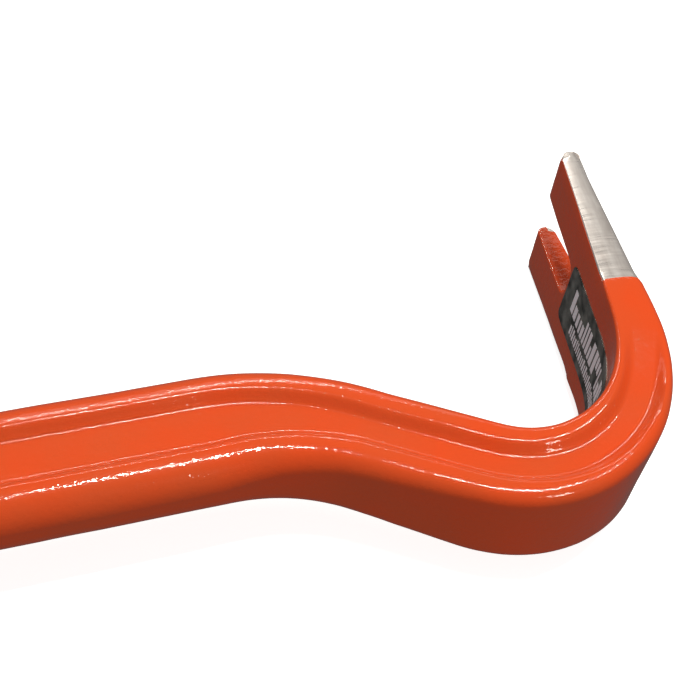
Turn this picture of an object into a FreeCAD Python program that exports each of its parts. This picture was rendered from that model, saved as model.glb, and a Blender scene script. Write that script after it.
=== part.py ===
"""Gooseneck pry bar, forged in one piece from fluted oval bar stock.

The bar lies on its side: it bends in a level plane, the shank runs along X, the hook opens
towards +Y and the width of the claw is along Z. Each cross-section stands square to the
centreline. In a section, depth is measured in the plane of the bends and width along Z.

Pieces: forged_bar (the steel), enamel_coat (the paint film around it, ground away at both
working ends) and claw_label (a label stuck inside the claw).
"""
import FreeCAD, Part
import collections
import math
import os
import Sketcher

# Millimetres and degrees.
DIMENSIONS = {
    # centreline from the shank to the claw
    "lead_length": 10,
    "neck_radius": 58,
    "neck_turn": 34,
    "neck_run": 27.8,
    "hook_radius": 28,
    "hook_half_turn": 44,
    "claw_radius": 44,
    "claw_turn": 30,
    "claw_run": 50,
    # centreline of the straight shank and of the chisel end
    "shank_length": 422,
    "heel_radius": 110,
    "heel_turn": 14,
    "blade_run": 43,
    # sections, each with its corner radius on the inner and on the outer side of the hook
    "shank_depth": 30,
    "shank_width": 17,
    "shank_inner_edge": 6.9,
    "shank_outer_edge": 6.9,
    "neck_depth": 23,
    "neck_width": 20.5,
    "neck_inner_edge": 4,
    "neck_outer_edge": 4.4,
    "hook_depth": 21.2,
    "hook_width": 24,
    "hook_inner_edge": 2.6,
    "hook_outer_edge": 3.4,
    "bend_depth": 18.2,
    "bend_width": 27,
    "bend_inner_edge": 1.8,
    "bend_outer_edge": 3.2,
    "root_depth": 14.8,
    "root_width": 33.5,
    "root_inner_edge": 1.3,
    "root_outer_edge": 3,
    "claw_depth": 12,
    "claw_width": 36,
    "claw_inner_edge": 1,
    "claw_outer_edge": 2.8,
    "tip_depth": 5.6,
    "tip_width": 42,
    "tip_inner_edge": 0.8,
    "tip_outer_edge": 1.3,
    "heel_depth": 18,
    "heel_width": 22,
    "heel_inner_edge": 4.5,
    "heel_outer_edge": 4.5,
    "blade_depth": 3.4,
    "blade_width": 34,
    "blade_inner_edge": 0.9,
    "blade_outer_edge": 0.9,
    "nose_length": 2.3,
    # flute along both sides of the bar
    "flute_floor": 10,
    "flute_floor_hook": 5.4,
    "flute_depth": 2.4,
    "flute_slope": 2.2,
    # nail notch in the claw, open at the tip
    "notch_mouth": 12.6,
    "notch_root": 10.6,
    "notch_length": 25,
    "notch_corner": 3,
    # paint film, and the lengths of the two ends that are ground bare
    "film": 0.3,
    "claw_ground": 41,
    "chisel_ground": 30,
    "bare_edge": 1.1,
    # label inside the claw
    "label_thickness": 0.25,
    "label_width": 18.8,
    "label_length": 48,
    "label_gap": 1.5,
    "label_offset": -1,
}

# A segment of a path: the section at its start, the section at its end, its length or its
# radius, its turn (None when straight), which way it turns, and how many sections it takes.
Segment = collections.namedtuple("Segment", "start end reach turn way count")
HOOK_PATH = [
    Segment("shank", "shank", "lead_length", None, 0, 1),
    Segment("shank", "neck", "neck_radius", "neck_turn", -1, 5),
    Segment("neck", "hook", "neck_run", None, 0, 2),
    Segment("hook", "bend", "hook_radius", "hook_half_turn", 1, 4),
    Segment("bend", "root", "hook_radius", "hook_half_turn", 1, 4),
    Segment("root", "claw", "claw_radius", "claw_turn", 1, 4),
    Segment("claw", "tip", "claw_run", None, 0, 1),
]
CHISEL_PATH = [
    Segment("shank", "shank", "lead_length", None, 0, 1),
    Segment("shank", "heel", "heel_radius", "heel_turn", 1, 4),
    Segment("heel", "blade", "blade_run", None, 0, 2),
]
# Numbers of the segments in which the flute narrows and in which it fades out.
HOOK_FLUTE_NARROWS = 1
HOOK_FLUTE_FADES = 5
CHISEL_FLUTE_FADES = 1
# Share of the nose's length, and share of the thickness left there, for a full round nose.
NOSE_ROUND = [(0.5, 0.87), (0.8, 0.6), (0.95, 0.31)]
# How far a flute's wall moves sideways, in film thicknesses, when the bar shrinks by the film.
WALL_SHIFT = 0.4
# Steps between the sections of the label.
LABEL_SECTIONS = 8
# Height by which a cutting shape stands clear of what it cuts.
CLEARANCE = 1.5
# How far the grinding stone reaches past the bar, and how far the shapes taken out of it do.
STONE_REACH = "(30)"
RELIEF_REACH = "(40)"
# Two lengths closer than this are the same.
TOLERANCE = 0.01

doc = FreeCAD.newDocument("pry_bar")
sheet = doc.addObject("Spreadsheet::Sheet", "sizes")


def fill_sheet():
    for row, (alias, value) in enumerate(DIMENSIONS.items(), start=1):
        sheet.set(f"A{row}", alias.replace("_", " "))
        sheet.set(f"B{row}", str(value))
        sheet.setAlias(f"B{row}", alias)
    doc.recompute()


def size(alias):
    return float(sheet.get(alias))


def evaluate(formula):
    """The value of a formula written on the sheet's cells."""
    return float(sheet.evalExpression(formula.replace("sizes.", "")))


class Station:
    """A place on the centreline, with its heading and the sizes of its section."""

    def __init__(self, x, y, heading, start, end, share):
        self.x = x
        self.y = y
        self.heading = heading
        self.start = start
        self.end = end
        self.share = share

    def formula(self, name):
        first = f"sizes.{self.start}_{name}"
        last = f"sizes.{self.end}_{name}"
        return f"({first} + ({last} - {first}) * {self.share:.5f})"

    def moved(self, along):
        """The same section, further on in the same direction."""
        x = self.x + along * math.cos(math.radians(self.heading))
        y = self.y + along * math.sin(math.radians(self.heading))
        return Station(x, y, self.heading, self.start, self.end, self.share)


def segment_length(segment):
    reach = size(segment.reach)
    return reach if segment.turn is None else reach * math.radians(size(segment.turn))


def walk(path, start_x, heading, distance):
    """The station at a distance along a path that starts on the shank's axis."""
    x = start_x
    y = 0.0
    for segment in path:
        length = segment_length(segment)
        here = min(distance, length)
        angle = math.radians(heading)
        if segment.turn is None:
            x += here * math.cos(angle)
            y += here * math.sin(angle)
        else:
            radius = segment.way * size(segment.reach)
            swept = here / radius
            x += radius * (math.sin(angle + swept) - math.sin(angle))
            y -= radius * (math.cos(angle + swept) - math.cos(angle))
            heading += math.degrees(swept)
        if distance < length + TOLERANCE:
            return Station(x, y, heading, segment.start, segment.end, here / length)
        distance -= length
    raise ValueError("the distance is past the end of the path")


def hook_station(distance):
    return walk(HOOK_PATH, -size("lead_length"), 0, distance)


def chisel_station(distance):
    return walk(CHISEL_PATH, size("lead_length") - size("shank_length"), 180, distance)


def path_length(path):
    return sum(segment_length(segment) for segment in path)


def origin_plane(body, role):
    return next(item for item in body.Origin.OriginFeatures if item.Role == role)


def turned_sketch(body, name, role, station):
    """A sketch on an origin plane, moved to a station and turned to its heading about Z."""
    sketch = body.newObject("Sketcher::SketchObject", name)
    sketch.AttachmentSupport = [(origin_plane(body, role), "")]
    sketch.MapMode = "FlatFace"
    turn = FreeCAD.Rotation(FreeCAD.Vector(0, 1, 0), station.heading)
    if role == "YZ_Plane":
        place = FreeCAD.Vector(station.y, 0, station.x)
    else:
        place = FreeCAD.Vector(station.x, 0, -station.y)
    sketch.AttachmentOffset = FreeCAD.Placement(place, turn)
    return sketch


def bind(sketch, kind, elements, name, formula):
    index = sketch.addConstraint(Sketcher.Constraint(kind, *elements, evaluate(formula)))
    sketch.renameConstraint(index, name)
    sketch.setExpression(f"Constraints.{name}", formula)


def outline(sketch, corners):
    """A closed outline of straight sides; each corner's x and y is bound to a formula."""
    points = [FreeCAD.Vector(evaluate(x), evaluate(y), 0) for x, y in corners]
    count = len(points)
    for number in range(count):
        side = Part.LineSegment(points[number], points[(number + 1) % count])
        sketch.addGeometry(side, False)
    for number in range(count):
        joined = (number, 2, (number + 1) % count, 1)
        sketch.addConstraint(Sketcher.Constraint("Coincident", *joined))
    for number, (x, y) in enumerate(corners):
        bind(sketch, "DistanceX", (-1, 1, number, 1), f"corner_{number}_x", x)
        bind(sketch, "DistanceY", (-1, 1, number, 1), f"corner_{number}_y", y)


def bar_section(body, name, station, growth, thinning=1):
    """Rectangle with round corners. Growth is in film thicknesses; thinning scales the depth."""
    film = f"+ sizes.film * {growth}"
    half_depth = f"({station.formula('depth')} / 2 * {thinning} {film})"
    half_width = f"({station.formula('width')} / 2 {film})"
    inner_edge = f"(({station.formula('inner_edge')} {film}) * {thinning})"
    outer_edge = f"(({station.formula('outer_edge')} {film}) * {thinning})"
    sketch = turned_sketch(body, name, "YZ_Plane", station)
    corners = [
        (1, 1, inner_edge),
        (-1, 1, outer_edge),
        (-1, -1, outer_edge),
        (1, -1, inner_edge),
    ]
    arcs = []
    for number, (side, level, edge) in enumerate(corners):
        radius = evaluate(edge)
        x = side * (evaluate(half_depth) - radius)
        y = level * (evaluate(half_width) - radius)
        circle = Part.Circle(FreeCAD.Vector(x, y, 0), FreeCAD.Vector(0, 0, 1), radius)
        arcs.append(Part.ArcOfCircle(circle, number * math.pi / 2, (number + 1) * math.pi / 2))
    for number, arc in enumerate(arcs):
        sketch.addGeometry(Part.LineSegment(arcs[number - 1].EndPoint, arc.StartPoint), False)
        sketch.addGeometry(arc, False)
    for number in range(4):
        line = 2 * number
        arc = line + 1
        direction = "Horizontal" if number % 2 else "Vertical"
        sketch.addConstraint(Sketcher.Constraint("Tangent", line, 2, arc, 1))
        sketch.addConstraint(Sketcher.Constraint("Tangent", arc, 2, (line + 2) % 8, 1))
        sketch.addConstraint(Sketcher.Constraint(direction, line))
    sketch.addConstraint(Sketcher.Constraint("Equal", 1, 7))
    sketch.addConstraint(Sketcher.Constraint("Equal", 3, 5))
    bind(sketch, "Radius", (1,), "inner_edge", inner_edge)
    bind(sketch, "Radius", (3,), "outer_edge", outer_edge)
    bind(sketch, "DistanceX", (-1, 1, 0, 1), "inner_side", half_depth)
    bind(sketch, "DistanceX", (4, 1, -1, 1), "outer_side", half_depth)
    bind(sketch, "DistanceY", (-1, 1, 2, 1), "upper_side", half_width)
    bind(sketch, "DistanceY", (6, 1, -1, 1), "lower_side", half_width)
    return sketch


def flute_section(body, name, station, growth, narrowing=0, fading=0):
    """Trapezoid that cuts the flute; narrowing goes to 1 in the hook, fading to 1 at its end."""
    film = f"sizes.film * {growth}"
    floor = f"(sizes.flute_floor + (sizes.flute_floor_hook - sizes.flute_floor) * {narrowing:.4f})"
    floor_half = f"({floor} / 2 - {WALL_SHIFT} * {film})"
    mouth_half = f"({floor_half} + sizes.flute_slope * (1 + {CLEARANCE} / sizes.flute_depth))"
    lift = f"((sizes.flute_depth + sizes.film) * {fading * fading * (3 - 2 * fading):.4f})"
    bottom = f"({station.formula('width')} / 2 + {film} - sizes.flute_depth + {lift})"
    top = f"({bottom} + sizes.flute_depth + {CLEARANCE})"
    corners = [
        (f"-{floor_half}", bottom),
        (floor_half, bottom),
        (mouth_half, top),
        (f"-{mouth_half}", top),
    ]
    sketch = turned_sketch(body, name, "YZ_Plane", station)
    outline(sketch, corners)
    return sketch


def loft(body, kind, name, sketches, ruled=False):
    feature = body.newObject(f"PartDesign::{kind}", name)
    feature.Profile = (sketches[0], [""])
    feature.Sections = [(sketch, [""]) for sketch in sketches[1:]]
    feature.Ruled = ruled
    doc.recompute()
    return feature


def loft_along(body, kind, name, path, station_at, make_section):
    """One loft for each segment of a path; each starts on the section where the last one ends."""
    lofts = []
    sketches = [make_section(f"{name}_section_0", station_at(0), 0, 0)]
    distance = 0
    for number, segment in enumerate(path):
        for step in range(1, segment.count + 1):
            share = step / segment.count
            station = station_at(distance + segment_length(segment) * share)
            section_name = f"{name}_section_{number}_{step}"
            sketches.append(make_section(section_name, station, number, share))
        lofts.append(loft(body, kind, f"{name}_{number}", sketches))
        sketches = sketches[-1:]
        distance += segment_length(segment)
    return lofts


def add_shank(body, growth):
    start = hook_station(0)
    start.heading = 180
    pad = body.newObject("PartDesign::Pad", "shank")
    pad.Profile = bar_section(body, "shank_section", start, growth)
    pad.setExpression("Length", "sizes.shank_length - 2 * sizes.lead_length")
    doc.recompute()


def add_end(body, growth, name, path, station_at):
    def make_section(section_name, station, number, share):
        return bar_section(body, section_name, station, growth)

    loft_along(body, "AdditiveLoft", name, path, station_at, make_section)


def add_nose(body, growth):
    tip = hook_station(path_length(HOOK_PATH))
    sketches = [bar_section(body, "nose_section_0", tip, growth)]
    for number, (along, thinning) in enumerate(NOSE_ROUND, start=1):
        station = tip.moved(along * size("nose_length"))
        sketches.append(bar_section(body, f"nose_section_{number}", station, growth, thinning))
    loft(body, "AdditiveLoft", "nose", sketches, ruled=True)


def progress(number, share, changing):
    """How far a change made within one segment has come: 0 before it and 1 after it."""
    return share if number == changing else int(number > changing)


def cut_flutes(body, growth):
    """A flute along the upper side, then its mirror image along the lower side."""
    start = hook_station(0)
    start.heading = 180
    straight = body.newObject("PartDesign::Pocket", "flute_shank")
    straight.Profile = flute_section(body, "flute_shank_section", start, growth)
    straight.setExpression("Length", "sizes.shank_length - 2 * sizes.lead_length")
    straight.Reversed = True
    doc.recompute()

    def hook_flute(name, station, number, share):
        narrowing = progress(number, share, HOOK_FLUTE_NARROWS)
        fading = progress(number, share, HOOK_FLUTE_FADES)
        return flute_section(body, name, station, growth, narrowing, fading)

    def chisel_flute(name, station, number, share):
        fading = progress(number, share, CHISEL_FLUTE_FADES)
        return flute_section(body, name, station, growth, fading=fading)

    kind = "SubtractiveLoft"
    hook_path = HOOK_PATH[:HOOK_FLUTE_FADES + 1]
    chisel_path = CHISEL_PATH[:CHISEL_FLUTE_FADES + 1]
    cuts = [straight]
    cuts += loft_along(body, kind, "flute_hook", hook_path, hook_station, hook_flute)
    cuts += loft_along(body, kind, "flute_chisel", chisel_path, chisel_station, chisel_flute)
    mirror = body.newObject("PartDesign::Mirrored", "flutes_lower_side")
    mirror.Originals = cuts
    mirror.MirrorPlane = (origin_plane(body, "XY_Plane"), [""])
    body.Tip = mirror
    doc.recompute()


def cut_notch(body, growth):
    """Nail notch: walls that close a little towards the root, cut square through the claw."""
    film = f"sizes.film * {growth}"
    root = f"(sizes.notch_root / 2 - {film})"
    depth = f"(sizes.notch_length - {film})"
    taper = "((sizes.notch_mouth - sizes.notch_root) / 2 / sizes.notch_length)"
    beyond = "(sizes.nose_length * 2)"
    mouth = f"({root} + {taper} * ({depth} + {beyond}))"
    tip = hook_station(path_length(HOOK_PATH))
    sketch = turned_sketch(body, "notch_outline", "XZ_Plane", tip)
    corners = [
        (beyond, mouth),
        (f"-{depth}", root),
        (f"-{depth}", f"-{root}"),
        (beyond, f"-{mouth}"),
    ]
    outline(sketch, corners)
    pocket = body.newObject("PartDesign::Pocket", "notch")
    pocket.Profile = sketch
    pocket.Type = "ThroughAll"
    pocket.Midplane = True
    doc.recompute()
    root_centre = tip.moved(-evaluate(depth))
    root_edges = []
    for number, edge in enumerate(body.Shape.Edges, start=1):
        centre = edge.CenterOfMass
        along = math.hypot(centre.x - root_centre.x, centre.y - root_centre.y)
        across = abs(abs(centre.z) - evaluate(root))
        if along < TOLERANCE and across < TOLERANCE:
            root_edges.append(f"Edge{number}")
    fillet = body.newObject("PartDesign::Fillet", "notch_corners")
    fillet.Base = (pocket, root_edges)
    fillet.setExpression("Radius", f"sizes.notch_corner - {film}")
    doc.recompute()


def make_bar(name, growth):
    """The whole bar; growth 0 is the painted surface and growth -1 the steel one film below."""
    body = doc.addObject("PartDesign::Body", name)
    add_shank(body, growth)
    add_end(body, growth, "hook", HOOK_PATH, hook_station)
    add_nose(body, growth)
    add_end(body, growth, "chisel", CHISEL_PATH, chisel_station)
    cut_flutes(body, growth)
    cut_notch(body, growth)
    return body


def claw_rectangle(body, name, station, low, high, half_width):
    """Rectangle square to the claw; low and high are measured towards the inner face."""
    sketch = turned_sketch(body, name, "YZ_Plane", station)
    corners = [
        (low, f"-{half_width}"),
        (high, f"-{half_width}"),
        (high, half_width),
        (low, half_width),
    ]
    outline(sketch, corners)
    return sketch


def add_stone(body, station, length):
    """The block that the grinding would take off if it spared nothing."""
    stone = body.newObject("PartDesign::Pad", "stone")
    reach = (f"-{STONE_REACH}", STONE_REACH, STONE_REACH)
    stone.Profile = claw_rectangle(body, "stone_outline", station, *reach)
    stone.setExpression("Length", length)
    doc.recompute()


def make_claw_grinding():
    """What the grinding takes off the painted claw.

    It bares the back, the two sides with their edges, and the nose. It leaves the paint on the
    inner face and on the walls of the notch.
    """
    body = doc.addObject("PartDesign::Body", "claw_grinding")
    tip = hook_station(path_length(HOOK_PATH))
    paint_line = hook_station(path_length(HOOK_PATH) - size("claw_ground"))
    add_stone(body, paint_line, "sizes.claw_ground + sizes.nose_length * 2")
    inner_face = []
    notch_walls = []
    stations = [paint_line.moved(-CLEARANCE), paint_line, tip.moved(-CLEARANCE / 2)]
    for number, station in enumerate(stations):
        half_depth = f"{station.formula('depth')} / 2"
        low = f"({half_depth} - sizes.film * 2)"
        half_width = f"({station.formula('width')} / 2 - sizes.bare_edge)"
        face = (low, RELIEF_REACH, half_width)
        inner_face.append(claw_rectangle(body, f"inner_face_{number}", station, *face))
        low = f"-({half_depth} - sizes.bare_edge)"
        half_width = "(sizes.notch_mouth / 2 + sizes.bare_edge)"
        walls = (low, RELIEF_REACH, half_width)
        notch_walls.append(claw_rectangle(body, f"notch_walls_{number}", station, *walls))
    loft(body, "SubtractiveLoft", "kept_inner_face", inner_face, ruled=True)
    loft(body, "SubtractiveLoft", "kept_notch_walls", notch_walls, ruled=True)
    return body


def make_chisel_grinding():
    """What the grinding takes off the painted chisel end: all of the film along its blade."""
    body = doc.addObject("PartDesign::Body", "chisel_grinding")
    paint_line = chisel_station(path_length(CHISEL_PATH) - size("chisel_ground"))
    add_stone(body, paint_line, "sizes.chisel_ground * 2")
    return body


def make_label_blank():
    """The label before it is trimmed to the surface that it is stuck on."""
    body = doc.addObject("PartDesign::Body", "label_blank")
    last = path_length(HOOK_PATH) - size("notch_length") - size("label_gap")
    first = last - size("label_length")
    sketches = []
    for number in range(LABEL_SECTIONS + 1):
        station = hook_station(first + (last - first) * number / LABEL_SECTIONS)
        half_depth = f"{station.formula('depth')} / 2"
        low = f"({half_depth} - sizes.film)"
        high = f"({half_depth} + sizes.label_thickness)"
        left = "(sizes.label_offset - sizes.label_width / 2)"
        right = "(sizes.label_offset + sizes.label_width / 2)"
        sketch = turned_sketch(body, f"label_section_{number}", "YZ_Plane", station)
        outline(sketch, [(low, left), (high, left), (high, right), (low, right)])
        sketches.append(sketch)
    loft(body, "AdditiveLoft", "strip", sketches)
    return body


def cut(label, base, tool):
    feature = doc.addObject("Part::Cut", label)
    feature.Base = base
    feature.Tool = tool
    doc.recompute()
    return feature


def stand_on_base(parts, bodies):
    """Move the bodies so that the origin is at the bottom centre of the finished parts' box."""
    boxes = [part.Shape.optimalBoundingBox(False, False) for part in parts]
    x = (min(box.XMin for box in boxes) + max(box.XMax for box in boxes)) / 2
    y = (min(box.YMin for box in boxes) + max(box.YMax for box in boxes)) / 2
    z = min(box.ZMin for box in boxes)
    for body in bodies:
        body.Placement = FreeCAD.Placement(FreeCAD.Vector(-x, -y, -z), FreeCAD.Rotation())
    doc.recompute()


def export(parts):
    for item in doc.Objects:
        if "Invalid" in item.State or "Error" in item.State:
            raise RuntimeError(f"{item.Name} did not recompute: {item.State}")
    for part in parts:
        if part.Shape.isNull() or not part.Shape.isValid():
            raise RuntimeError(f"{part.Label} has no valid shape")
    os.makedirs("parts", exist_ok=True)
    for part in parts:
        part.Shape.exportStep(f"parts/{part.Label}.step")
        print(part.Label, len(part.Shape.Solids), "solid,", round(part.Shape.Volume), "mm3")


fill_sheet()
forged_bar = make_bar("forged_bar", -1)
painted_bar = make_bar("painted_bar", 0)
claw_grinding = make_claw_grinding()
chisel_grinding = make_chisel_grinding()
label_blank = make_label_blank()
full_film = cut("full_film", painted_bar, forged_bar)
film_off_claw = cut("film_off_claw", full_film, claw_grinding)
enamel_coat = cut("enamel_coat", film_off_claw, chisel_grinding)
claw_label = cut("claw_label", label_blank, painted_bar)
finished = [forged_bar, enamel_coat, claw_label]
stand_on_base(finished, [forged_bar, painted_bar, claw_grinding, chisel_grinding, label_blank])
export(finished)
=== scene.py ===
"""Looks of a gooseneck pry bar: forged steel, orange enamel and a dark label.

One function gives the bar's surface at any depth below the paint, so the steel and both sides
of the paint film share their points. Lengths are in millimetres until a mesh is made. The hook
bends in a level plane and the claw's width is along Z. "Inner" is the side towards the hook's
opening, and a distance along the bar runs from the chisel's tip to the claw's.
"""

import math
from collections import namedtuple

import bpy
import numpy as np
from mathutils import Matrix, Vector, geometry, noise


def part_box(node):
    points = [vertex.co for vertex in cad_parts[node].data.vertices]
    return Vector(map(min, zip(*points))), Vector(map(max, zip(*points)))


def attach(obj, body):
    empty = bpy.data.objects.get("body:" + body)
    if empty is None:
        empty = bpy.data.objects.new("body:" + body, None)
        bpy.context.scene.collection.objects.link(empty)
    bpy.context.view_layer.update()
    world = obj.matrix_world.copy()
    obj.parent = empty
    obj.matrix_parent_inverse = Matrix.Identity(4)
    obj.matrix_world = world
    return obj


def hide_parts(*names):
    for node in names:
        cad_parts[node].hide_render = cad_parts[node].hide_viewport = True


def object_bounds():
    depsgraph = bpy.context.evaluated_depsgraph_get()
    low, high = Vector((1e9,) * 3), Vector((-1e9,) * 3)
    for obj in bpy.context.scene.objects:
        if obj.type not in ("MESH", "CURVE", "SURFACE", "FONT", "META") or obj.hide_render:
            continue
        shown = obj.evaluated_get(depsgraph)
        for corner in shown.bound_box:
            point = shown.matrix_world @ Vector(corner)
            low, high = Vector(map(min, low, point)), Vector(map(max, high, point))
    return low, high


METRES = 0.001

# Sections of the bar: depth, width, inner edge's radius, outer edge's radius.
SECTIONS = {
    "blade": (3.4, 34, 0.9, 0.9),
    "heel": (18, 22, 4.5, 4.5),
    "shank": (30, 17, 6.9, 6.9),
    "neck": (23, 20.5, 4.0, 4.4),
    "hook": (21.2, 24, 2.6, 3.4),
    "bend": (18.2, 27, 1.9, 3.2),
    "root": (14.8, 33.5, 1.7, 3.0),
    "claw": (12, 36, 1.0, 2.8),
    "tip": (5.6, 42, 0.5, 1.3),
}
# From the chisel's tip to the claw's: section at the start, section at the end, length, turn.
SEGMENTS = [
    ("blade", "heel", 43, 0),
    ("heel", "shank", math.radians(14) * 110, -14),
    ("shank", "shank", 422, 0),
    ("shank", "neck", math.radians(34) * 58, -34),
    ("neck", "hook", 27.8, 0),
    ("hook", "bend", math.radians(44) * 28, 44),
    ("bend", "root", math.radians(44) * 28, 44),
    ("root", "claw", math.radians(30) * 44, 30),
    ("claw", "tip", 50, 0),
]
CHISEL_HEADING = 14
LENGTHS = [segment[2] for segment in SEGMENTS]
KNOTS = np.concatenate([[0], np.cumsum(LENGTHS)])
HEEL, SHANK_START, SHANK_END, NECK = KNOTS[1:5]
ROOT, CLAW, TIP = KNOTS[-3:]

# The paint film, and its thickness where it ends.
FILM = 0.3
FILM_EDGE = 0.08

# The flute in each side: its floor on the shank and in the hook, its depth, the width of a slope
# and the share of that which is rounded, how much each millimetre outwards narrows half of the
# floor, and the least flat between the flute and the edge of the side.
FLUTE_FLOOR = 10
FLUTE_FLOOR_HOOK = 5.4
FLUTE_DEPTH = 2.4
FLUTE_SLOPE = 2.2
FLUTE_ROUNDING = 0.3
FLUTE_NARROWING = 0.4
FLUTE_CLEARANCE = 0.25

# The claw's end: how far its nose goes past the last section, the radius of the nose's corners,
# and the radius that the sides' outer edges come down to on the way there.
NOSE = 2.48
NOSE_EDGE = 0.45
TINE_EDGE = 0.5
TINE_EDGE_REACH = 8

# The nail notch: its length, half of its width at the root and at the mouth, and the radii of the
# root's corners and of its edges.
NOTCH_LENGTH = 25
NOTCH_ROOT = 5.3
NOTCH_MOUTH = 6.3
NOTCH_CORNER = 3
NOTCH_EDGE = 0.55

# The chisel's round tip: its length, and the square of what is left of the thickness at its end.
CHISEL_NOSE = 1.4
CHISEL_BLUNTNESS = 0.1

# Bare steel: where it starts, how its paint line bows on the sides, and how much lower grinding
# leaves the edges of the sides than their middle.
CLAW_BARE = TIP - 41
CHISEL_BARE = 30
PAINT_ARCH = 0.7
PAINT_ARCH_DROP = 0.3
PAINT_ARCH_REACH = 5
GROUND_CROWN = 0.7
GROUND_CROWN_REACH = 3

# Waves in the paint lines: their size, and their height on the claw's back and on the chisel.
PAINT_WAVE = 4
CLAW_WAVE = 0.5
CHISEL_WAVE = 0.6

# The label: its ends along the bar, its middle and half of its width across, and its print.
LABEL_LOW = TIP - 74.5
LABEL_HIGH = TIP - 26.3
LABEL_MIDDLE = -1
LABEL_HALF = 9.4
LABEL_CORNER = 2
LABEL_THICKNESS = 0.2
PRINT_THICKNESS = 0.04

# Unevenness of the forging: the size and the height of its waves, what it takes off on average,
# and the share of it that grinding leaves.
LUMPS = ((13, 0.085), (6, 0.04), (3.2, 0.018))
LOWERED = sum(height for size, height in LUMPS)
GROUND_LUMPS = 0.1

# Points of a section: across the inner or outer face, round a corner, over half of a side.
FLAT_STEPS = 16
CORNER_STEPS = 7
HALF_COUNTS = (3, 4, 2, 4, 3)
HALF_STEPS = sum(HALF_COUNTS)

# Distances between sections, close together where the bar bends or is seen from near by.
BARE_STEP = 1.25
CLAW_STEP = 1.3
NEAR_STEP = 1.8
BLADE_STEP = 2.2
FAR_STEP = 4.5
NEAR_SHANK = SHANK_END - 190

# Points inside a face of the claw: their spacing, and the least distance from its outline.
FACE_STEP = 1.9
FACE_CLEARANCE = 0.9
FACE_REACH = 20.6

# The fine steps on which the centreline is worked out, how far past the bar's ends they go, and
# how widely corners in the values along the bar are eased.
STEP = 0.25
MARGIN = 6
SMOOTHING = 2.5


# ---------------------------------------------------------------- centreline and sections

def smoothed(values):
    """Values along the bar with their corners eased by a bell-shaped average."""
    reach = np.arange(-4 * SMOOTHING, 4 * SMOOTHING + STEP / 2, STEP)
    weights = np.exp(-(reach / SMOOTHING) ** 2 / 2)
    padded = np.pad(values, len(reach) // 2, mode="reflect", reflect_type="odd")
    return np.convolve(padded, weights / weights.sum(), mode="valid")


def on_line(values):
    """Values given at the knots, on the fine steps of the whole bar and a little past its ends."""
    first = values[0] - (values[1] - values[0]) * MARGIN / LENGTHS[0]
    last = values[-1] + (values[-1] - values[-2]) * MARGIN / LENGTHS[-1]
    knots = np.concatenate([[-MARGIN], KNOTS, [TIP + MARGIN]])
    return smoothed(np.interp(FINE, knots, np.concatenate([[first], values, [last]])))


def section_line(column):
    names = [SEGMENTS[0][0]] + [segment[1] for segment in SEGMENTS]
    return on_line([SECTIONS[name][column] for name in names])


def make_line():
    """The centreline and the section's sizes at every fine step."""
    turns = [segment[3] for segment in SEGMENTS]
    heading = np.radians(on_line(CHISEL_HEADING + np.concatenate([[0], np.cumsum(turns)])))
    x = np.cumsum(np.cos(heading)) * STEP
    y = np.cumsum(np.sin(heading)) * STEP
    bend_start = np.array([np.interp(SHANK_END, FINE, x), np.interp(SHANK_END, FINE, y)])
    sizes = [section_line(column) for column in range(4)]
    return [x - bend_start[0], y - bend_start[1], heading] + sizes


FINE = np.arange(-MARGIN, TIP + MARGIN, STEP)
LINE = make_line()


def along(s):
    """x, y, heading, half depth, half width, inner and outer edge radius at distances s."""
    x, y, heading, depth, width, inner, outer = [np.interp(s, FINE, values) for values in LINE]
    thin = np.sqrt(np.clip(1 - (1 - s / CHISEL_NOSE) ** 2, CHISEL_BLUNTNESS, 1))
    thin = np.where(s < CHISEL_NOSE, thin, 1)
    return x, y, heading, depth / 2 * thin, width / 2, inner * thin, outer * thin


def half_depth_at(s):
    return along(s)[3]


def half_width_at(s):
    return float(along(s)[4])


def smoothstep(x):
    x = np.clip(x, 0, 1)
    return x * x * (3 - 2 * x)


def eased_ramp(x, ease):
    """Rises from 0 to 1 between x = 0 and x = 1, with both corners rounded."""
    x = np.clip(x, -ease, 1 + ease)
    low = (x + ease) ** 2 / (4 * ease)
    high = 1 - (1 + ease - x) ** 2 / (4 * ease)
    return np.where(x < ease, low, np.where(x > 1 - ease, high, x))


def flute_half_floor(s):
    narrow = np.clip((s - SHANK_END) / (NECK - SHANK_END), 0, 1)
    return (FLUTE_FLOOR + (FLUTE_FLOOR_HOOK - FLUTE_FLOOR) * narrow) / 2


def flute_cut(s, across, growth):
    """How deep the flute is below the side of the bar."""
    fade = smoothstep((s - ROOT) / (CLAW - ROOT)) + smoothstep((SHANK_START - s) / (SHANK_START - HEEL))
    depth = np.clip(FLUTE_DEPTH - (FLUTE_DEPTH + FILM) * fade, 0, None)
    half = flute_half_floor(s) - FLUTE_NARROWING * growth + FLUTE_SLOPE
    return depth * eased_ramp((half - np.abs(across)) / FLUTE_SLOPE, FLUTE_ROUNDING)


def half_positions(s, edge):
    """Distances from the middle of a side to its edge, closest together at the flute's steps."""
    ease = FLUTE_ROUNDING * FLUTE_SLOPE
    half = flute_half_floor(s)
    marks = [0 * half, half - ease, half + ease, half + FLUTE_SLOPE - ease, half + FLUTE_SLOPE + ease]
    scale = np.minimum(1, (edge - FLUTE_CLEARANCE) / marks[-1])
    marks = [mark * scale for mark in marks] + [edge]
    rows = [marks[0]]
    for low, high, count in zip(marks, marks[1:], HALF_COUNTS):
        rows += [low + (high - low) * step / count for step in range(1, count + 1)]
    return rows


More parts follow.
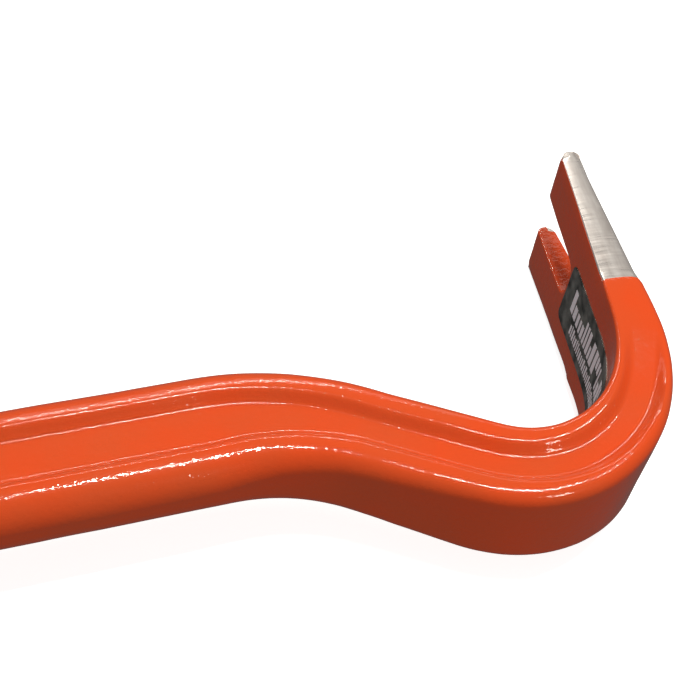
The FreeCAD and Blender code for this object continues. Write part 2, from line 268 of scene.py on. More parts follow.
def wall_points():
    """The points of a side with its two corners, from the inner face to the outer one."""
    turn = [step / CORNER_STEPS * math.pi / 2 for step in range(CORNER_STEPS + 1)]
    points = [("corner", 1, math.pi / 2 - angle) for angle in turn]
    points += [("side", 1, number) for number in range(HALF_STEPS - 1, -1, -1)]
    points += [("side", -1, number) for number in range(1, HALF_STEPS)]
    points += [("corner", -1, angle) for angle in turn]
    return points


WALL = wall_points()


def section_points():
    """All points of a section: inner face, upper side, outer face, lower side."""
    across = [2 * step / FLAT_STEPS - 1 for step in range(1, FLAT_STEPS)]
    points = [("flat", 1, 0, value) for value in across]
    points += [(kind, side, 1, value) for kind, side, value in WALL]
    points += [("flat", -1, 0, -value) for value in across]
    points += [(kind, side, -1, value) for kind, side, value in reversed(WALL)]
    return points


SECTION = section_points()
# Places of the sides' first points in a section, where the lower side runs backwards.
UPPER_WALL = FLAT_STEPS - 1
LOWER_WALL = len(SECTION) - 1


def section_offsets(s, growth):
    """Offsets towards the inner side and up; s has a row for each section."""
    half_depth, half_width, inner, outer = along(s)[3:]
    depth = half_depth + growth
    width = half_width + growth
    radii = {1: np.maximum(inner + growth, 0.2), -1: np.maximum(outer + growth, 0.2)}
    towards = np.zeros(s.shape)
    up = np.zeros(s.shape)
    places = {side: half_positions(s, depth - radii[side]) for side in (1, -1)}
    for column, (kind, side, level, value) in enumerate(SECTION):
        a = depth[:, column]
        b = width[:, column]
        radius = radii[side][:, column]
        if kind == "flat":
            towards[:, column] = side * a
            up[:, column] = value * (b - radius)
        elif kind == "corner":
            towards[:, column] = side * (a - radius + radius * math.sin(value))
            up[:, column] = level * (b - radius + radius * math.cos(value))
        else:
            towards[:, column] = side * places[side][value][:, column]
            up[:, column] = level * b
    cut = flute_cut(s, towards, growth)
    corner = width - np.abs(up)
    both = (cut ** 4 + corner ** 4) ** 0.25
    on_side = np.array([kind != "flat" for kind, side, level, value in SECTION])
    return towards, np.where(on_side & (cut > 0), np.sign(up) * (width - both), up)


def placed(s, towards, up):
    """Points in the frame whose origin is where the gooseneck starts."""
    x, y, heading = along(s)[:3]
    return np.stack([x - towards * np.sin(heading), y + towards * np.cos(heading), up], -1)


def spaced(start, end, step):
    """Even steps from start to just before end."""
    count = math.ceil(abs(end - start) / step)
    return [start + (end - start) * number / count for number in range(count)]


def wobble(x, y, z, size):
    return noise.noise(Vector((x, y, z)) / size)


def swept_places():
    """Distances of the sections, those on the chisel's paint line a little uneven."""
    rows = [0, 0.2, 0.5, 0.9] + spaced(CHISEL_NOSE, CHISEL_BARE, BLADE_STEP)
    line = len(rows)
    rows += spaced(CHISEL_BARE, SHANK_START, NEAR_STEP) + spaced(SHANK_START, NEAR_SHANK, FAR_STEP)
    rows += spaced(NEAR_SHANK, SHANK_END, NEAR_STEP) + spaced(SHANK_END, CLAW, CLAW_STEP) + [CLAW]
    s = np.repeat(np.array(rows, float)[:, None], len(SECTION), 1)
    for column in range(len(SECTION)):
        angle = column / 20
        wave = wobble(7 * math.sin(angle), 7 * math.cos(angle), 3, PAINT_WAVE)
        s[line, column] += CHISEL_WAVE * wave
    return s, line


SWEPT, CHISEL_LINE = swept_places()
LAST_SECTION = (len(SWEPT) - 1) * len(SECTION)
SWEPT_POINTS = len(SWEPT) * len(SECTION)


# ---------------------------------------------------------------- claw

# A row of points on the claw's edge: its place along and across, its outward normal, the radii of
# its inner and outer edges, how far those edges draw in (None where the radii say), its kind, and
# the step to the row beside it whose first and last points it uses (0 if it has its own).
Row = namedtuple("Row", "s z normal_s normal_z inner outer inset_s inset_z kind shares")

CLAW_END = TIP + NOSE
NOSE_RADIUS = float(half_depth_at(CLAW_END))
NOSE_START = CLAW_END - NOSE_RADIUS
NOSE_ROUNDING = 0.88 * NOSE_RADIUS


def plain_row(s, z, normal_s, normal_z, inner, outer, kind):
    return Row(s, z, normal_s, normal_z, inner, outer, None, None, kind, 0)


def side_rows():
    """The claw's side, up to where its nose starts to round."""
    places = spaced(CLAW, CLAW_BARE, CLAW_STEP) + spaced(CLAW_BARE, NOSE_START, BARE_STEP) + [NOSE_START]
    rows = []
    for s in places[1:]:
        width, inner, outer = along(s)[4:]
        kind = "painted side" if s < CLAW_BARE else "bare side"
        near_end = smoothstep((s - NOSE_START) / TINE_EDGE_REACH + 1)
        outer = outer + (TINE_EDGE - outer) * near_end
        rows.append(plain_row(s, float(width), 0, 1, float(inner), float(outer), kind))
    return rows


def notch_at(s):
    return NOTCH_ROOT + (NOTCH_MOUTH - NOTCH_ROOT) * (s - TIP + NOTCH_LENGTH) / NOTCH_LENGTH


def nose_corner(wall_at, faces, edge, kind):
    """From a wall of the claw, which faces up (1) or down (-1), round to the nose."""
    rows = []
    for share in (0.2, 0.4, 0.6):
        reach = NOSE_RADIUS * share
        s = NOSE_START + reach
        rows.append(Row(s, wall_at(s), 0, faces, NOSE_ROUNDING, NOSE_ROUNDING,
                        reach, faces * edge, kind, -faces))
    for angle in (0, 30, 60, 90):
        turn = math.radians(angle)
        back = NOSE_EDGE * (1 - math.sin(turn))
        drop = NOSE_EDGE * (1 - math.cos(turn))
        s = CLAW_END - back
        z = wall_at(s) - faces * drop
        rows.append(Row(s, z, math.sin(turn), faces * math.cos(turn), NOSE_ROUNDING, NOSE_ROUNDING,
                        NOSE_RADIUS - back, faces * (edge - drop), kind, -faces))
    return rows


def nose_rows(count=12):
    """The round nose between its two corners."""
    high = half_width_at(CLAW_END) - NOSE_EDGE
    low = notch_at(CLAW_END) + NOSE_EDGE
    places = [high + (low - high) * step / count for step in range(1, count)]
    return [Row(CLAW_END, z, 1, 0, NOSE_ROUNDING, NOSE_ROUNDING, NOSE_RADIUS, 0, "nose", 0)
            for z in places]


def notch_row(s, z, normal_s, normal_z):
    return plain_row(s, z, normal_s, normal_z, NOTCH_EDGE, NOTCH_EDGE, "notch")


def notch_rows(count=7):
    """The notch's wall, from where the nose has rounded into it to the middle of its root."""
    root = TIP - NOTCH_LENGTH
    corner = root + NOTCH_CORNER
    flat = NOTCH_ROOT - NOTCH_CORNER
    rows = [notch_row(s, notch_at(s), 0, -1) for s in spaced(NOSE_START, corner, CLAW_STEP)]
    for step in range(count + 1):
        angle = math.radians(90 + step * 90 / count)
        towards, up = math.cos(angle), math.sin(angle)
        rows.append(notch_row(corner + NOTCH_CORNER * towards, flat + NOTCH_CORNER * up, -towards, -up))
    return rows + [notch_row(root, z, 1, 0) for z in (flat * 2 / 3, flat / 3, 0)]


def mirrored(row):
    inset_z = None if row.inset_z is None else -row.inset_z
    return row._replace(z=-row.z, normal_z=-row.normal_z, inset_z=inset_z, shares=-row.shares)


def claw_outline():
    """All rows round the claw, from its upper side to its lower one."""
    upper = side_rows() + nose_corner(half_width_at, 1, TINE_EDGE, "bare corner") + nose_rows()
    upper += nose_corner(notch_at, -1, NOTCH_EDGE, "notch")[::-1] + notch_rows()
    return upper + [mirrored(row) for row in upper[-2::-1]]


OUTLINE = claw_outline()


def outline_column(name):
    return np.array([getattr(row, name) for row in OUTLINE], float)[:, None]


def flat_shares(growth):
    """How far from the inner to the outer edge the points between the corners of a wall lie."""
    towards = section_offsets(np.full((1, len(SECTION)), CLAW), growth)[0][0]
    flat = towards[UPPER_WALL + CORNER_STEPS:UPPER_WALL + len(WALL) - CORNER_STEPS]
    return (flat - flat[0]) / (flat[-1] - flat[0])


def rows_of(kind):
    return np.array([[kind in row.kind] for row in OUTLINE])


def claw_walls(growth):
    """Points on the claw's edges, a row for each row of the outline."""
    shares = flat_shares(growth)
    s, z = outline_column("s"), outline_column("z")
    normal_s, normal_z = outline_column("normal_s"), outline_column("normal_z")
    radii = {1: outline_column("inner"), -1: outline_column("outer")}
    inset_s, inset_z = outline_column("inset_s"), outline_column("inset_z")
    plain = np.isnan(inset_s)
    crown = GROUND_CROWN * smoothstep((s - CLAW_BARE) / GROUND_CROWN_REACH) * rows_of("bare")
    near_line = smoothstep(1 - np.abs(s - CLAW_BARE) / PAINT_ARCH_REACH) * rows_of("side")
    s_wall = np.zeros((len(OUTLINE), len(WALL)))
    z_wall = np.zeros(s_wall.shape)
    towards = np.zeros(s_wall.shape)
    for number, (kind, side, value) in enumerate(WALL):
        turn = math.cos(value) if kind == "corner" else 1
        radius = radii[side]
        layer = 2 * number / (len(WALL) - 1) - 1
        arch = near_line * (PAINT_ARCH * (1 - layer ** 2) - PAINT_ARCH_DROP)
        in_s = np.where(plain, normal_s * radius, inset_s) * (1 - turn)
        in_z = np.where(plain, normal_z * radius, inset_z) * (1 - turn)
        s_here = s - in_s + growth * normal_s * turn + arch
        half = half_depth_at(s_here)
        if kind == "corner":
            here = side * (half - radius * (1 - math.sin(value)) + growth * math.sin(value))
        else:
            share = shares[number - CORNER_STEPS]
            here = (half - radii[1]) * (1 - share) - (half - radii[-1]) * share
        z_here = z - in_z + (growth * turn - crown * (here / half) ** 2) * normal_z
        s_wall[:, number] = s_here[:, 0]
        z_wall[:, number] = z_here[:, 0]
        towards[:, number] = here[:, 0]
    return s_wall, towards, z_wall


def inside(points, loop):
    """Which points lie inside a closed outline."""
    x, y = points[:, :1], points[:, 1:]
    ax, ay = loop[:, 0], loop[:, 1]
    bx, by = np.roll(ax, -1), np.roll(ay, -1)
    crosses = (ay > y) != (by > y)
    with np.errstate(divide="ignore", invalid="ignore"):
        where = ax + (y - ay) / (by - ay) * (bx - ax)
    return (crosses & (x < where)).sum(1) % 2 == 1


def claw_face(loop, line):
    """Points of a face of the claw, first its outline, then a line across it, then those inside;
    and the edges of the outline and the line."""
    fixed = np.array(loop + line)
    places = np.arange(CLAW + 1, TIP + 1, FACE_STEP)
    grid = np.array([(s, z) for s in places for z in np.arange(-FACE_REACH, FACE_REACH, FACE_STEP)])
    grid = grid[inside(grid, np.array(loop))]
    away = np.sqrt(((grid[:, None, :] - fixed[None, :, :]) ** 2).sum(-1)).min(1)
    grid = grid[away > FACE_CLEARANCE]
    edges = [(number, (number + 1) % len(loop)) for number in range(len(loop))]
    across = range(len(loop), len(fixed))
    return np.concatenate([fixed, grid]), edges + list(zip(across, across[1:]))


def triangulated(points, edges):
    """Triangles within the outline, as the numbers of their points."""
    vectors = [Vector(point) for point in points.tolist()]
    made = geometry.delaunay_2d_cdt(vectors, edges, [], 1, 1e-7)
    origins = [group[0] if group else -1 for group in made[3]]
    if -1 in origins or len(made[0]) != len(points):
        raise RuntimeError("the claw's face has points that cross")
    return [[origins[corner] for corner in face] for face in made[2]]


def oriented(points, faces, sign):
    """Faces turned so that their area along and across has the given sign."""
    turned = []
    for face in faces:
        a, b, c = [points[corner] for corner in face[:3]]
        area = (b[0] - a[0]) * (c[1] - a[1]) - (b[1] - a[1]) * (c[0] - a[0])
        turned.append(face if area * sign > 0 else face[::-1])
    return turned


# ---------------------------------------------------------------- the whole surface

def number_points():
    """Index of each claw wall point; the first and last columns are points of the last section."""
    layers = range(len(WALL))
    starts = range(SWEPT_POINTS, SWEPT_POINTS + len(OUTLINE) * len(WALL), len(WALL))
    columns = [[start + layer for layer in layers] for start in starts]
    for number in range(len(OUTLINE)):
        owner = number
        while OUTLINE[owner].shares:
            owner += OUTLINE[owner].shares
        columns[number][0] = columns[owner][0]
        columns[number][-1] = columns[owner][-1]
    upper = [LAST_SECTION + UPPER_WALL + layer for layer in layers]
    lower = [LAST_SECTION + LOWER_WALL - layer for layer in layers]
    return [upper] + columns + [lower]


COLUMNS = number_points()
WALL_POINTS = SWEPT_POINTS + len(OUTLINE) * len(WALL)
PAINT_COLUMN = 1 + [row.kind for row in OUTLINE].index("bare side")


def face_outline(side):
    """Point numbers round the claw's inner (1) or outer (-1) face."""
    if side > 0:
        across = range(UPPER_WALL)
        layer = 0
    else:
        across = reversed(range(UPPER_WALL + len(WALL), LOWER_WALL + 1 - len(WALL)))
        layer = -1
    numbers = [column[layer] for column in COLUMNS] + [LAST_SECTION + column for column in across]
    return list(dict.fromkeys(numbers))


def outline_places():
    """Distances along and across of the last section's points and of the wall's, by number."""
    s_wall, _, z_wall = claw_walls(0)
    up = section_offsets(SWEPT[-1:], 0)[1][0]
    places = {LAST_SECTION + column: (CLAW, z) for column, z in enumerate(up)}
    walls = zip(s_wall.ravel(), z_wall.ravel())
    places.update({SWEPT_POINTS + number: place for number, place in enumerate(walls)})
    return places


def paint_line(edge):
    """The wavy end of the paint over the claw's outer face, from its upper edge to its lower one."""
    line = []
    for share in [step / 22 for step in range(1, 22)]:
        wave = CLAW_WAVE * wobble(share * 30, 5, 1, PAINT_WAVE)
        line.append((edge[0] + wave, edge[1] * (1 - 2 * share)))
    return line


def is_before(place, edge, line):
    """Whether a place on the outer face lies on the painted side of the paint line."""
    s, z = np.array([edge] + line + [(edge[0], -edge[1])]).T
    return place[0] < np.interp(-place[1], -z, s)


def claw_faces():
    """Both faces of the claw: extra points as (along, across, side), triangles and painted flags."""
    places = outline_places()
    extra = []
    faces = []
    painted = []
    for side in (1, -1):
        numbers = face_outline(side)
        loop = [places[number] for number in numbers]
        edge = loop[PAINT_COLUMN]
        line = paint_line(edge) if side < 0 else []
        points, edges = claw_face(loop, line)
        if line:
            high = numbers.index(COLUMNS[-1 - PAINT_COLUMN][-1])
            edges += [(PAINT_COLUMN, len(loop)), (len(loop) + len(line) - 1, high)]
        triangles = oriented(points, triangulated(points, edges), -side)
        numbers += [WALL_POINTS + len(extra) + step for step in range(len(points) - len(loop))]
        extra += [(s, z, side) for s, z in points[len(loop):]]
        for triangle in triangles:
            faces.append([numbers[corner] for corner in triangle])
            painted.append(side > 0 or is_before(points[triangle].mean(0), edge, line))
    return extra, faces, painted


EXTRA, CAP_FACES, CAP_PAINTED = claw_faces()


def surface_points(growth):
    """All points of the bar's surface, growth millimetres outside the paint."""
    towards, up = section_offsets(SWEPT, growth)
    swept = placed(SWEPT, towards, up).reshape(-1, 3)
    walls = placed(*claw_walls(growth)).reshape(-1, 3)
    s, z, side = np.array(EXTRA).T
    caps = placed(s, side * (half_depth_at(s) + growth), z)
    return np.concatenate([swept, walls, caps])


def surface_grain():
    """Distances along the bar, towards the inner side and up, for every point of the surface."""
    swept = np.stack([SWEPT, *section_offsets(SWEPT, 0)], -1).reshape(-1, 3)
    walls = np.stack(claw_walls(0), -1).reshape(-1, 3)
    s, z, side = np.array(EXTRA).T
    caps = np.stack([s, side * half_depth_at(s), z], -1)
    return np.concatenate([swept, walls, caps])


def surface_faces():
    """Faces of the whole surface, and whether each of them is painted."""
    ring = len(SECTION)
    faces = [list(range(ring))[::-1]]
    painted = [False]
    for row in range(len(SWEPT) - 1):
        for column in range(ring):
            here = row * ring + column
            beside = row * ring + (column + 1) % ring
            faces.append([here, beside, beside + ring, here + ring])
            painted.append(row >= CHISEL_LINE)
    kinds = ["painted side"] + [row.kind for row in OUTLINE] + ["painted side"]
    for number, (here, beside) in enumerate(zip(COLUMNS, COLUMNS[1:])):
        for layer in range(len(WALL) - 1):
            corners = [here[layer], here[layer + 1], beside[layer + 1], beside[layer]]
            faces.append(list(dict.fromkeys(corners)))
            painted.append(wall_is_painted(kinds[number:number + 2], layer))
    return faces + CAP_FACES, painted + CAP_PAINTED


def wall_is_painted(pair, layer):
    """The sides keep their paint up to the paint line, the notch all of it but for its outer edge,
    and the nose a strip next to the inner face. The pair is the kinds of the rows on both sides."""
    if "painted side" in pair:
        return True
    if pair == ["notch", "notch"]:
        return layer < len(WALL) - 1 - CORNER_STEPS
    if "bare side" in pair or "bare corner" in pair:
        return False
    return layer < CORNER_STEPS - 1


# ---------------------------------------------------------------- meshes

SHARP_ANGLE = 40


def lumps(points):
    """Unevenness of the forging, never outwards; its mean is LOWERED below the plain surface."""
    heights = np.empty(len(points))
    for number, (x, y, z) in enumerate(points.tolist()):
        waves = [height * wobble(x, y, z + 40 * size, size) for size, height in LUMPS]
        heights[number] = sum(waves) - LOWERED
    return heights


def make_mesh(name, points, faces, material):
    mesh = bpy.data.meshes.new(name)
    mesh.from_pydata(points.tolist(), [], faces)
    mesh.validate()
    mesh.shade_smooth()
    mesh.set_sharp_from_angle(angle=math.radians(SHARP_ANGLE))
    mesh.materials.append(material)
    piece = bpy.data.objects.new(name, mesh)
    bpy.context.scene.collection.objects.link(piece)
    return piece


def add_grain(piece, values):
    """Distance along and across the bar in millimetres, for the grinding marks."""
    layer = piece.data.attributes.new("grain", "FLOAT_VECTOR", "POINT")
    layer.data.foreach_set("vector", values.astype(np.float32).ravel())


def in_frame(points):
    """Points in the row frame, in metres, kept within the CAD model's box."""
    moved = points * METRES + np.array(OFFSET)
    return np.clip(moved, np.array(CAD_BOX[0]), np.array(CAD_BOX[1]))


def find_offset():
    """Where the gooseneck's start lies in the row frame: the claw's bare back is the bar's right
    end, and the paint on the hook's outside is its front."""
    right = surface_points(-FILM)[:, 0].max() * METRES
    front = surface_points(0)[:, 1].min() * METRES
    middle = (CAD_BOX[0].z + CAD_BOX[1].z) / 2
    bar_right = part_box("forged_bar")[1].x
    coat_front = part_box("enamel_coat")[0].y
    return Vector((bar_right - right, coat_front - front, middle))


def used_only(points, faces):
    """Points that the faces use, the faces renumbered for them, and the points' old numbers."""
    used = sorted({corner for face in faces for corner in face})
    place = {old: new for new, old in enumerate(used)}
    return points[used], [[place[corner] for corner in face] for face in faces], used


def border_edges(faces):
    """Edges, in the direction of their face, that only one face has."""
    edges = {(a, b) for face in faces for a, b in zip(face, face[1:] + face[:1])}
    return [(a, b) for a, b in edges if (b, a) not in edges]


def closed_shell(top, bottom, faces):
    """A closed thin shell: faces over the top points, over the bottom ones, and between their rims."""
    count = len(top)
    shell = faces + [[corner + count for corner in face[::-1]] for face in faces]
    shell += [[b, a, a + count, b + count] for a, b in border_edges(faces)]
    return np.concatenate([top, bottom]), shell


# ---------------------------------------------------------------- materials

def new_material(name, colour, roughness, metallic=0.0):
    material = bpy.data.materials.new(name)
    material.use_nodes = True
    shader = material.node_tree.nodes["Principled BSDF"]
    shader.inputs["Base Color"].default_value = (*colour, 1)
    shader.inputs["Roughness"].default_value = roughness
    shader.inputs["Metallic"].default_value = metallic
    return material, material.node_tree, shader


def noise_node(tree, vector, scale, detail, stretch=(1, 1, 1)):
    mapping = tree.nodes.new("ShaderNodeMapping")
    mapping.inputs["Scale"].default_value = stretch
    tree.links.new(vector, mapping.inputs["Vector"])
    node = tree.nodes.new("ShaderNodeTexNoise")
    node.inputs["Scale"].default_value = scale
    node.inputs["Detail"].default_value = detail
    tree.links.new(mapping.outputs["Vector"], node.inputs["Vector"])
    return node.outputs["Fac"]


def remap(tree, value, low, high, to_low, to_high):
    node = tree.nodes.new("ShaderNodeMapRange")
    node.inputs["From Min"].default_value = low
    node.inputs["From Max"].default_value = high
    node.inputs["To Min"].default_value = to_low
    node.inputs["To Max"].default_value = to_high
    tree.links.new(value, node.inputs["Value"])
    return node.outputs["Result"]


def mix_colours(tree, share, first, second):
    node = tree.nodes.new("ShaderNodeMix")
    node.data_type = "RGBA"
    node.inputs["A"].default_value = (*first, 1)
    node.inputs["B"].default_value = (*second, 1)
    tree.links.new(share, node.inputs["Factor"])
    return node.outputs["Result"]


def add_bump(tree, shader, height, distance, layer="Normal"):
    bump = tree.nodes.new("ShaderNodeBump")
    bump.inputs["Distance"].default_value = distance
    tree.links.new(height, bump.inputs["Height"])
    tree.links.new(bump.outputs["Normal"], shader.inputs[layer])


def patchy_colour(tree, shader, value, limits, first, second):
    """Base colour between two colours, as a noise value goes from one limit to the other."""
    share = remap(tree, value, *limits, 0, 1)
    tree.links.new(mix_colours(tree, share, first, second), shader.inputs["Base Color"])


def enamel():
    """Glossy orange paint with a little orange peel, most of it in the clear top of the paint."""
    orange = (0.61, 0.063, 0.012)
    material, tree, shader = new_material("enamel_orange", orange, 0.3)
    place = tree.nodes.new("ShaderNodeTexCoord").outputs["Object"]
    patches = noise_node(tree, place, 60, 2)
    patchy_colour(tree, shader, patches, (0.35, 0.65), orange, (0.56, 0.069, 0.016))
    peel = noise_node(tree, place, 800, 2)
    add_bump(tree, shader, peel, 0.00006)
    add_bump(tree, shader, peel, 0.0001, "Coat Normal")
    shader.inputs["Specular IOR Level"].default_value = 0.05
    shader.inputs["Coat Weight"].default_value = 0.8
    shader.inputs["Coat Roughness"].default_value = 0.05
    return material


def ground_steel():
    """Bright steel with fine marks across the bar from the grinding belt."""
    dull = (0.76, 0.7, 0.67)
    material, tree, shader = new_material("ground_steel", dull, 0.3, 0.8)
    attribute = tree.nodes.new("ShaderNodeAttribute")
    attribute.attribute_name = "grain"
    grain = attribute.outputs["Vector"]
    tone = noise_node(tree, grain, 1.0, 3, (0.12, 0.6, 0.6))
    patchy_colour(tree, shader, tone, (0.3, 0.7), dull, (0.98, 0.93, 0.9))
    marks = noise_node(tree, grain, 1.0, 1, (2.4, 0.1, 0.1))
    tree.links.new(remap(tree, marks, 0.25, 0.75, 0.26, 0.38), shader.inputs["Roughness"])
    add_bump(tree, shader, marks, 0.000007)
    return material


def label_film():
    """Dark film with worn, paler clouds."""
    dark = (0.035, 0.037, 0.033)
    material, tree, shader = new_material("label_dark", dark, 0.35, 0.5)
    place = tree.nodes.new("ShaderNodeTexCoord").outputs["Object"]
    clouds = noise_node(tree, place, 260, 3)
    patchy_colour(tree, shader, clouds, (0.35, 0.7), dark, (0.27, 0.27, 0.25))
    return material


def label_print():
    return new_material("label_light", (0.8, 0.75, 0.8), 0.4)[0]


def floor_paint():
    """Pale matt floor that glows a little, so that shadows on it stay faint."""
    material, _, shader = new_material("floor_pale", (0.65, 0.65, 0.65), 0.9)
    shader.inputs["Specular IOR Level"].default_value = 0
    shader.inputs["Emission Color"].default_value = (1, 1, 1, 1)
    shader.inputs["Emission Strength"].default_value = 0.78
    return material


# ---------------------------------------------------------------- pieces

def finish_piece(piece, node):
    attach(piece, "root")
    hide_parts(node)


def surface_heights(points, coat_faces):
    """Unevenness of the whole surface, most of it ground away where no paint is left."""
    height = lumps(points)
    coated = {corner for face in coat_faces for corner in face}
    bare = [number for number in range(len(points)) if number not in coated]
    height[bare] = GROUND_LUMPS * (height[bare] + LOWERED) - LOWERED
    return height


def build_bar(points, faces):
    points, faces, used = used_only(points, faces)
    bar = make_mesh("forged_bar_visual", in_frame(points), faces, ground_steel())
    add_grain(bar, surface_grain()[used])
    finish_piece(bar, "forged_bar")


def build_coat(points, outwards, faces):
    """The paint film on the steel's points, thinner where it ends."""
    thickness = np.full(len(points), FILM)
    thickness[[corner for edge in border_edges(faces) for corner in edge]] = FILM_EDGE
    points, faces = closed_shell(points + outwards * thickness[:, None], points, faces)
    points, faces, _ = used_only(points, faces)
    coat = make_mesh("enamel_coat_visual", in_frame(points), faces, enamel())
    finish_piece(coat, "enamel_coat")


def build_bar_and_coat():
    faces, painted = surface_faces()
    coat_faces = [face for face, has_paint in zip(faces, painted) if has_paint]
    full = surface_points(0)
    plain = surface_points(-FILM)
    outwards = full - plain
    outwards /= np.linalg.norm(outwards, axis=1)[:, None]
    steel = plain + outwards * surface_heights(full, coat_faces)[:, None]
    build_bar(steel, faces)
    build_coat(steel, outwards, coat_faces)


def label_half_width(s):
    """Half of the label's width, drawn in at its rounded ends."""
    near = np.clip(LABEL_CORNER - np.minimum(s - LABEL_LOW, LABEL_HIGH - s), 0, LABEL_CORNER)
    return LABEL_HALF - LABEL_CORNER + np.sqrt(LABEL_CORNER ** 2 - near ** 2)


def on_inner_face(s, z, lift):
    """Points above the paint of the inner face."""
    s = np.array(s, float)
    points = placed(s, half_depth_at(s), np.array(z, float))
    heading = along(s)[2]
    normal = np.stack([-np.sin(heading), np.cos(heading), 0 * heading], -1)
    return points + normal * (lumps(points) + lift)[:, None]


def plate(rows, columns, s, z, low, high):
    """A closed thin plate over a grid of places on the inner face."""
    corners = [row * columns + column for row in range(rows - 1) for column in range(columns - 1)]
    faces = [[here, here + columns, here + columns + 1, here + 1] for here in corners]
    return closed_shell(on_inner_face(s, z, high), on_inner_face(s, z, low), faces)


def label_sheet():
    ends = [LABEL_CORNER * (1 - math.cos(math.radians(angle))) for angle in range(0, 90, 15)]
    middle = spaced(LABEL_LOW + LABEL_CORNER, LABEL_HIGH - LABEL_CORNER, 1)
    rows = [LABEL_LOW + end for end in ends] + middle + [LABEL_HIGH - end for end in ends[::-1]]
    across = np.linspace(-1, 1, 15)
    s = np.repeat(rows, len(across))
    z = LABEL_MIDDLE + (label_half_width(np.array(rows))[:, None] * across[None, :]).ravel()
    return plate(len(rows), len(across), s, z, 0, LABEL_THICKNESS)


def label_marks():
    """Two rows of plain blocks that stand for print, as (start, end, low, high) along and across."""
    random = np.random.default_rng(5)
    marks = []
    s = LABEL_HIGH - 5.5
    while s > LABEL_LOW + 4:
        width = random.choice([1.0, 1.4, 1.9])
        low, high = random.choice([(-2.6, 4.7), (-2.6, 1.6), (0.9, 4.7), (-2.6, 4.7)])
        marks.append((s - width, s, low, high))
        s -= width + random.choice([0.55, 0.8])
    s = LABEL_HIGH - 9
    while s > LABEL_LOW + 6:
        width = random.choice([0.5, 0.8])
        marks.append((s - width, s, -7.6, random.choice([-4.6, -3.9])))
        s -= width + 0.5
    return marks


def print_block(low_s, high_s, low_z, high_z):
    rows = [low_s, (low_s + high_s) / 2, high_s]
    across = np.linspace(low_z, high_z, 4)
    s = np.repeat(rows, len(across))
    z = np.tile(across, len(rows))
    return plate(len(rows), len(across), s, z, LABEL_THICKNESS / 2, LABEL_THICKNESS + PRINT_THICKNESS)


def build_label():
    points, faces = label_sheet()
    plain = len(faces)
    for mark in label_marks():
        block, block_faces = print_block(*mark)
        faces += [[corner + len(points) for corner in face] for face in block_faces]
        points = np.concatenate([points, block])
    label = make_mesh("claw_label_visual", in_frame(points), faces, label_film())
    label.data.materials.append(label_print())
    for number, face in enumerate(label.data.polygons):
        face.material_index = int(number >= plain)
    finish_piece(label, "claw_label")


# ---------------------------------------------------------------- stage, light and camera

# The camera: its lens, the direction it looks from, its tilt, and how far it is from its target,
# which is measured from the start of the gooseneck.
FOCAL = 59.14
AZIMUTH = -24.053
ELEVATION = 49.569
ROLL = 9.017
DISTANCE = 275.546
TARGET = (38.419, 18.369, 0)

# The room is brighter as fill light than as what the paint and the steel reflect.
ROOM_LIGHT = 0.33
ROOM_REFLECTION = 0.09

# The lamps face this place, measured from the start of the gooseneck.
LIT_PLACE = (30, 0, 0)
LAMP_COLOUR = (1, 0.95, 0.86)

# Half of the floor's side, in metres.
FLOOR_REACH = 6


def direction(azimuth, elevation):
    a = math.radians(azimuth)
    e = math.radians(elevation)
    return Vector((math.sin(a) * math.cos(e), -math.cos(a) * math.cos(e), math.sin(e)))


def add_camera():
    data = bpy.data.cameras.new("camera")
    data.lens = FOCAL
    data.sensor_width = 36
    data.clip_start = 0.01
    data.clip_end = 50
    back = direction(AZIMUTH, ELEVATION)
    right = Vector((0, 0, 1)).cross(back).normalized()
    up = back.cross(right)
    roll = math.radians(ROLL)
    right, up = (
        math.cos(roll) * right + math.sin(roll) * up,
        math.cos(roll) * up - math.sin(roll) * right,
    )
    camera = bpy.data.objects.new("camera", data)
    turn = Matrix((right, up, back)).transposed()
    place = Vector(TARGET) * METRES + OFFSET + back * DISTANCE * METRES
    camera.matrix_world = Matrix.Translation(place) @ turn.to_4x4()
    bpy.context.scene.collection.objects.link(camera)
    bpy.context.scene.camera = camera


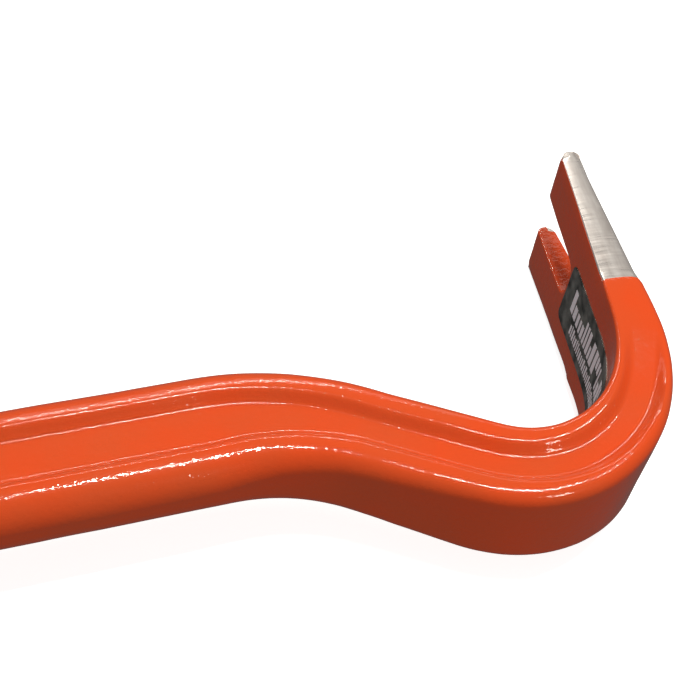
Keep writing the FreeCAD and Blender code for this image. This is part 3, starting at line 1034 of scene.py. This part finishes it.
def add_light(name, towards, distance, size, power):
    """A rectangular soft light that faces the hook; size is its length across and its height."""
    data = bpy.data.lights.new(name, "AREA")
    data.color = LAMP_COLOUR
    data.shape = "RECTANGLE"
    data.size, data.size_y = size
    data.energy = power
    light = bpy.data.objects.new(name, data)
    back = Vector(towards).normalized()
    right = Vector((0, 1, 0)).cross(back).normalized()
    turn = Matrix((right, back.cross(right), back)).transposed()
    place = Vector(LIT_PLACE) * METRES + OFFSET + back * distance
    light.matrix_world = Matrix.Translation(place) @ turn.to_4x4()
    bpy.context.scene.collection.objects.link(light)


def add_lights():
    add_light("strip", (0.15, 0.0, 0.98), 0.9, (0.46, 0.04), 7.2)
    add_light("front", (0.26, -0.75, 0.60), 0.9, (0.14, 0.14), 1.5)
    add_light("rear_strip", (0.08, 0.78, 0.62), 0.9, (0.45, 0.02), 1.6)
    add_light("back", (0.10, 0.80, 0.55), 1.2, (1.5, 0.4), 2.0)
    world = bpy.data.worlds.new("studio")
    world.use_nodes = True
    tree = world.node_tree
    background = tree.nodes["Background"]
    background.inputs["Color"].default_value = (1, 1, 1, 1)
    is_glossy = tree.nodes.new("ShaderNodeLightPath").outputs["Is Glossy Ray"]
    strength = remap(tree, is_glossy, 0, 1, ROOM_LIGHT, ROOM_REFLECTION)
    tree.links.new(strength, background.inputs["Strength"])
    bpy.context.scene.world = world


def add_floor():
    corners = [(-1, -1), (1, -1), (1, 1), (-1, 1)]
    points = np.array([(x * FLOOR_REACH, y * FLOOR_REACH, CAD_BOX[0].z) for x, y in corners])
    floor = make_mesh("floor", points, [[0, 1, 2, 3]], floor_paint())
    floor.visible_glossy = False
    floor.visible_diffuse = False
    floor.visible_shadow = False


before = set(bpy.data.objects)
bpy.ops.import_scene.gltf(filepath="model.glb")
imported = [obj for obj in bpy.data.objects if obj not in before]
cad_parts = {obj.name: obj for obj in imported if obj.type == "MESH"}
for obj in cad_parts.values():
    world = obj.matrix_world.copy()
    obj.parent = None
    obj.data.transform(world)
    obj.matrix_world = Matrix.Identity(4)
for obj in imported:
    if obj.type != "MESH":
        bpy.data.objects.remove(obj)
CAD_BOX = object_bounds()
OFFSET = find_offset()
build_bar_and_coat()
build_label()
add_floor()
add_lights()
add_camera()
bpy.context.scene.view_settings.view_transform = "Standard"
bpy.context.view_layer.update()
